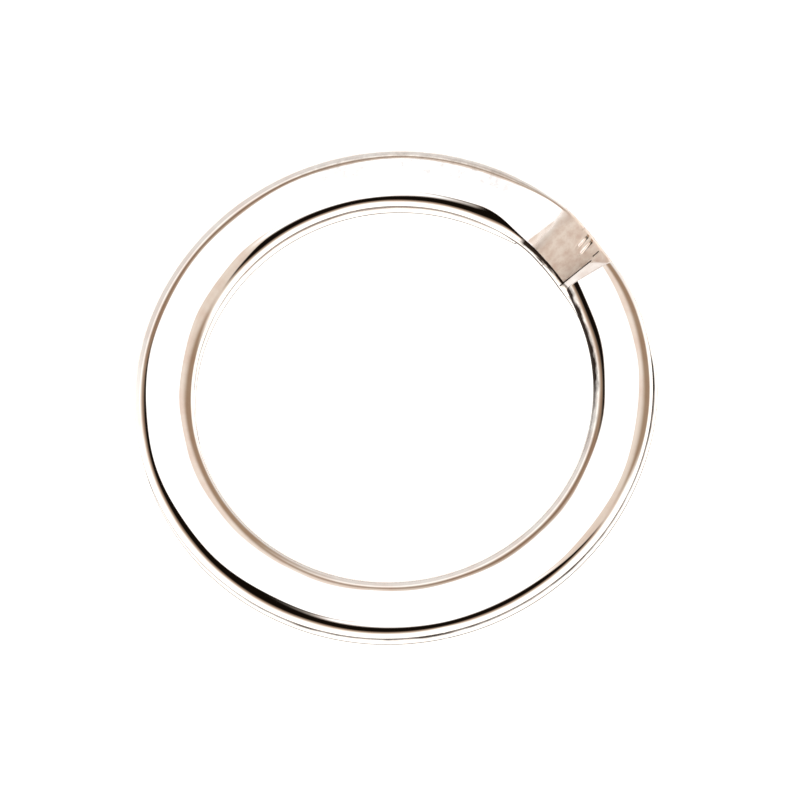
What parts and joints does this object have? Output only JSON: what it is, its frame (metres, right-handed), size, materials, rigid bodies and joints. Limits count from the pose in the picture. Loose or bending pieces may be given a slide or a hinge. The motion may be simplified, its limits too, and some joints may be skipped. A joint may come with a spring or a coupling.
{
  "type": "split key ring",
  "caption": "Flat split key ring of pressed spring wire in two face-to-face coils, with a crossover ramp and free tips that pry open.",
  "frame": {"origin": "centre of the ring, halfway up its thickness", "axes": "+Z square to the ring's flat faces and up; +X from the centre to the middle of the crossover, where the wire steps down from the upper coil to the lower one"},
  "size_m": [0.0299, 0.03, 0.002],
  "materials": {
    "plated_wire": "polished nickel plate"
  },
  "bodies": {
    "rigid_half": {"crossover_ramp": "plated_wire", "upper_coil_stretch_1": "plated_wire", "upper_coil_stretch_2": "plated_wire", "upper_coil_stretch_3": "plated_wire", "upper_coil_stretch_4": "plated_wire", "lower_coil_stretch_1": "plated_wire", "lower_coil_stretch_2": "plated_wire", "lower_coil_stretch_3": "plated_wire", "lower_coil_stretch_4": "plated_wire"},
    "upper_spring_1": {"upper_coil_stretch_5": "plated_wire"},
    "upper_spring_2": {"upper_coil_stretch_6": "plated_wire"},
    "upper_spring_3": {"upper_coil_stretch_7": "plated_wire"},
    "upper_free_end": {"upper_coil_tip": "plated_wire"},
    "lower_spring_1": {"lower_coil_stretch_5": "plated_wire"},
    "lower_spring_2": {"lower_coil_stretch_6": "plated_wire"},
    "lower_spring_3": {"lower_coil_stretch_7": "plated_wire"},
    "lower_free_end": {"lower_coil_tip": "plated_wire"}
  },
  "joints": [
    {"name": "upper_coil_opens", "type": "hinge", "parent": "rigid_half", "child": "upper_spring_1", "pos_m": [-0.01328, 0, 0.00051], "axis": [0, -1, 0], "range_deg": [0, 1.9], "stiffness_Nm_per_rad": 15.8},
    {"name": "upper_coil_flex_2", "type": "hinge", "parent": "upper_spring_1", "child": "upper_spring_2", "pos_m": [-0.00939, -0.00939, 0.00051], "axis": [0.3827, -0.9239, 0], "range_deg": [0, 1.79]},
    {"name": "upper_coil_flex_3", "type": "hinge", "parent": "upper_spring_2", "child": "upper_spring_3", "pos_m": [0, -0.01328, 0.00051], "axis": [0.7071, -0.7071, 0], "range_deg": [0, 1.38]},
    {"name": "upper_coil_flex_4", "type": "hinge", "parent": "upper_spring_3", "child": "upper_free_end", "pos_m": [0.00939, -0.00939, 0.00051], "axis": [0.9239, -0.3827, 0], "range_deg": [0, 0.746]},
    {"name": "lower_coil_opens", "type": "hinge", "parent": "rigid_half", "child": "lower_spring_1", "pos_m": [-0.01328, 0, -0.00051], "axis": [0, 1, 0], "range_deg": [0, 1.9], "stiffness_Nm_per_rad": 15.8},
    {"name": "lower_coil_flex_2", "type": "hinge", "parent": "lower_spring_1", "child": "lower_spring_2", "pos_m": [-0.00939, 0.00939, -0.00051], "axis": [0.3827, 0.9239, 0], "range_deg": [0, 1.79]},
    {"name": "lower_coil_flex_3", "type": "hinge", "parent": "lower_spring_2", "child": "lower_spring_3", "pos_m": [0, 0.01328, -0.00051], "axis": [0.7071, 0.7071, 0], "range_deg": [0, 1.38]},
    {"name": "lower_coil_flex_4", "type": "hinge", "parent": "lower_spring_3", "child": "lower_free_end", "pos_m": [0.00939, 0.00939, -0.00051], "axis": [0.9239, 0.3827, 0], "range_deg": [0, 0.746]}
  ],
  "couplings": [
    {"joint": "upper_coil_flex_2", "follows": "upper_coil_opens", "ratio": 0.92388},
    {"joint": "upper_coil_flex_3", "follows": "upper_coil_opens", "ratio": 0.70711},
    {"joint": "upper_coil_flex_4", "follows": "upper_coil_opens", "ratio": 0.38268},
    {"joint": "lower_coil_flex_2", "follows": "lower_coil_opens", "ratio": 0.92388},
    {"joint": "lower_coil_flex_3", "follows": "lower_coil_opens", "ratio": 0.70711},
    {"joint": "lower_coil_flex_4", "follows": "lower_coil_opens", "ratio": 0.38268}
  ]
}
